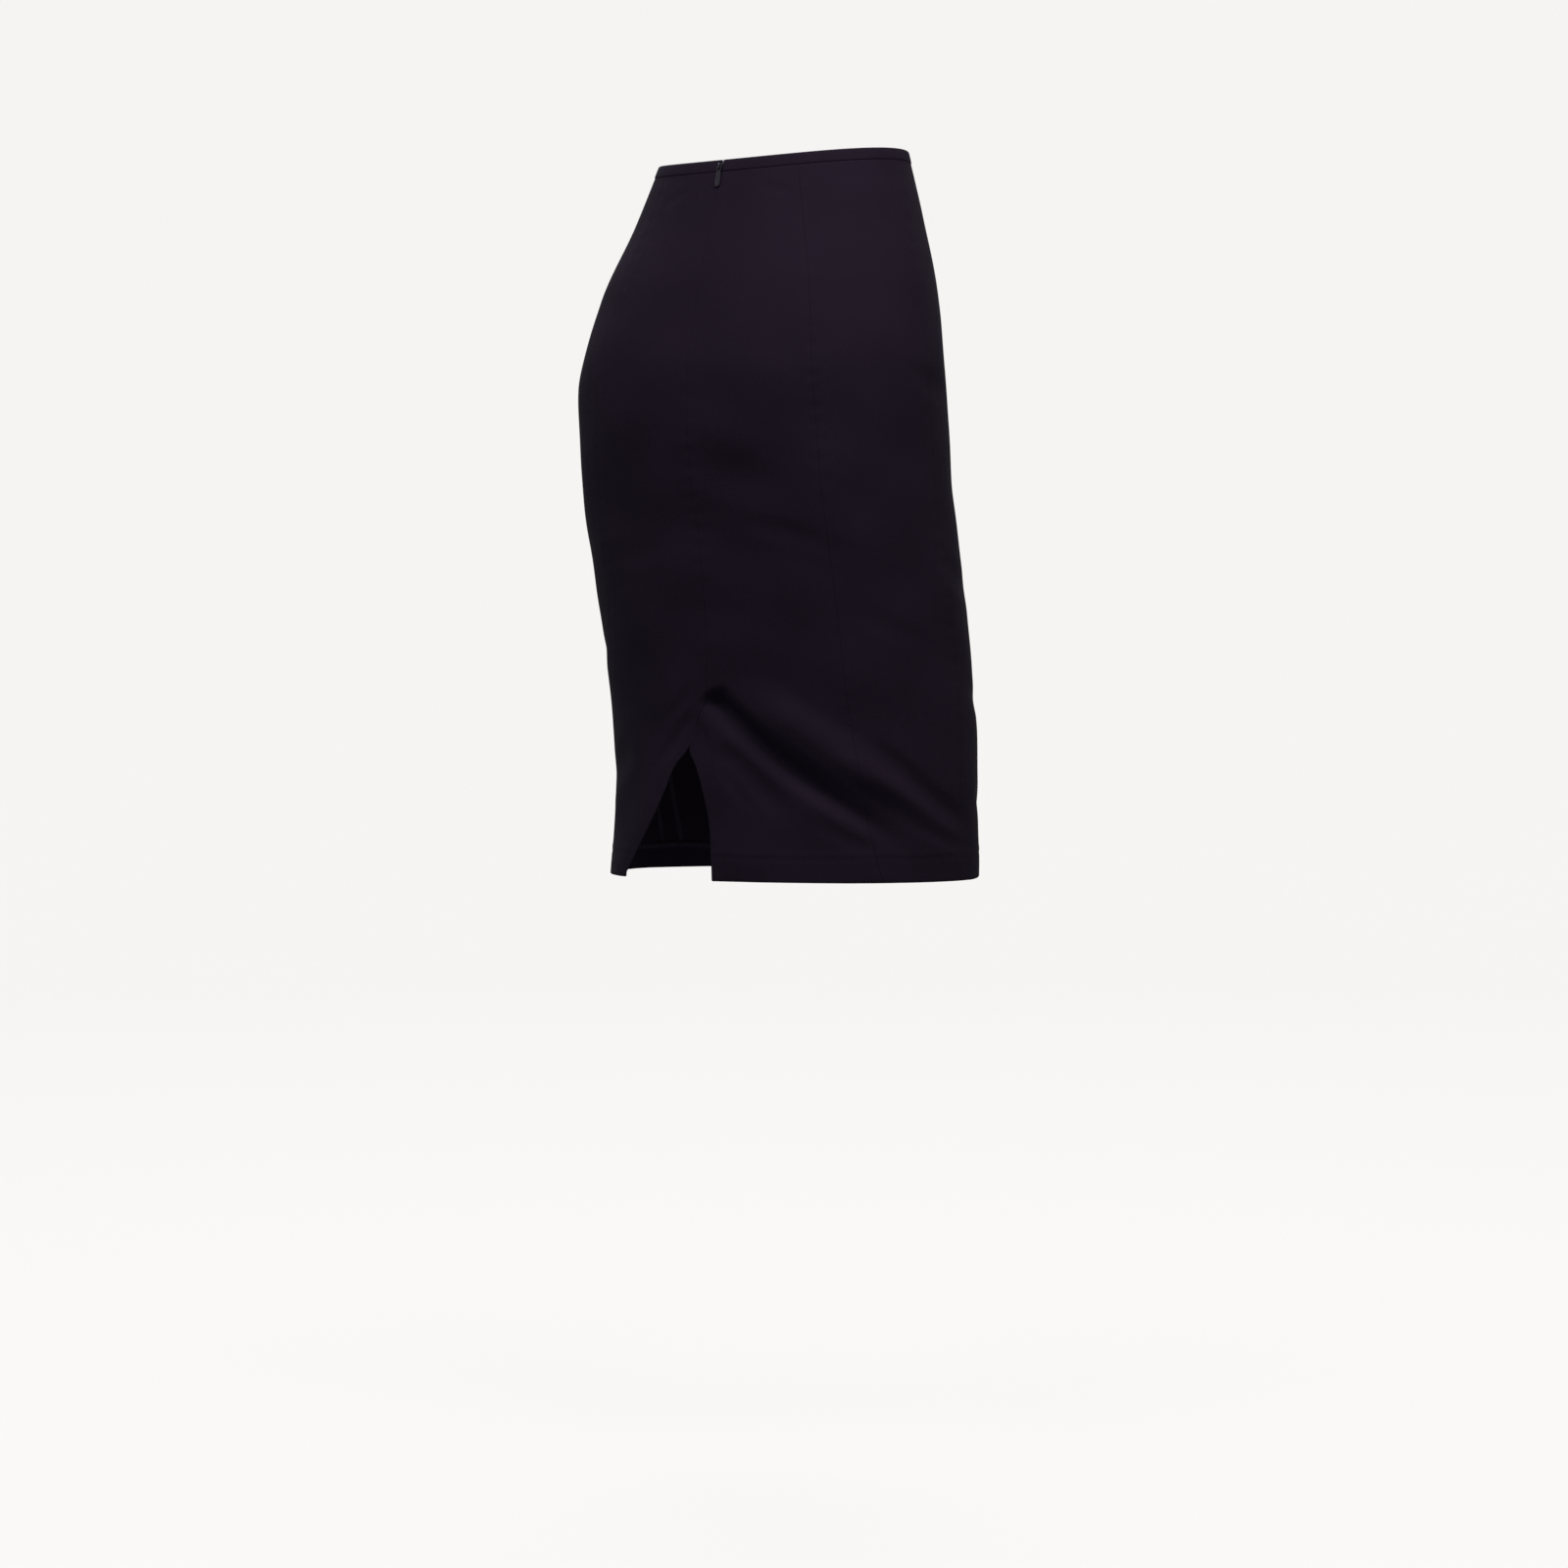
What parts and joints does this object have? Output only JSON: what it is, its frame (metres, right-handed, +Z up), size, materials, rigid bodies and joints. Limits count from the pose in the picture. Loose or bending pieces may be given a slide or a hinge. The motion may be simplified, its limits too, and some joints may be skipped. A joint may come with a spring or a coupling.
{
  "type": "pencil skirt",
  "caption": "Knee-length pencil skirt in its hollow worn form: shaped back panels, narrow waistband, centre back zip with a swinging pull, and an open slit at the back hem.",
  "frame": {"origin": "centre of the waist, level with the waist edge at the sides", "axes": "+Z up, the front faces -Y, the back with the zip and slit faces +Y, and the wearer's left is +X"},
  "size_m": [0.3767, 0.2714, 0.6501],
  "materials": {
    "cloth": "smooth matte stretch crepe with a soft sheen, very dark aubergine",
    "zip_tape": "fine woven tape, near black",
    "zip_metal": "dark satin lacquer on a cast slider and pull"
  },
  "bodies": {
    "skirt": {"front": "cloth", "side_back_left": "cloth", "centre_back_left": "cloth", "centre_back_right": "cloth", "side_back_right": "cloth", "waistband": "cloth", "zip_tape_left": "zip_tape", "zip_tape_right": "zip_tape", "zip_slider": "zip_metal"},
    "pull": {"zip_pull": "zip_metal"}
  },
  "joints": [
    {"name": "pull_swing", "type": "hinge", "parent": "skirt", "child": "pull", "pos_m": [0, 0.09942, -0.02067], "axis": [1, 0, 0], "range_deg": [0, 165]}
  ]
}
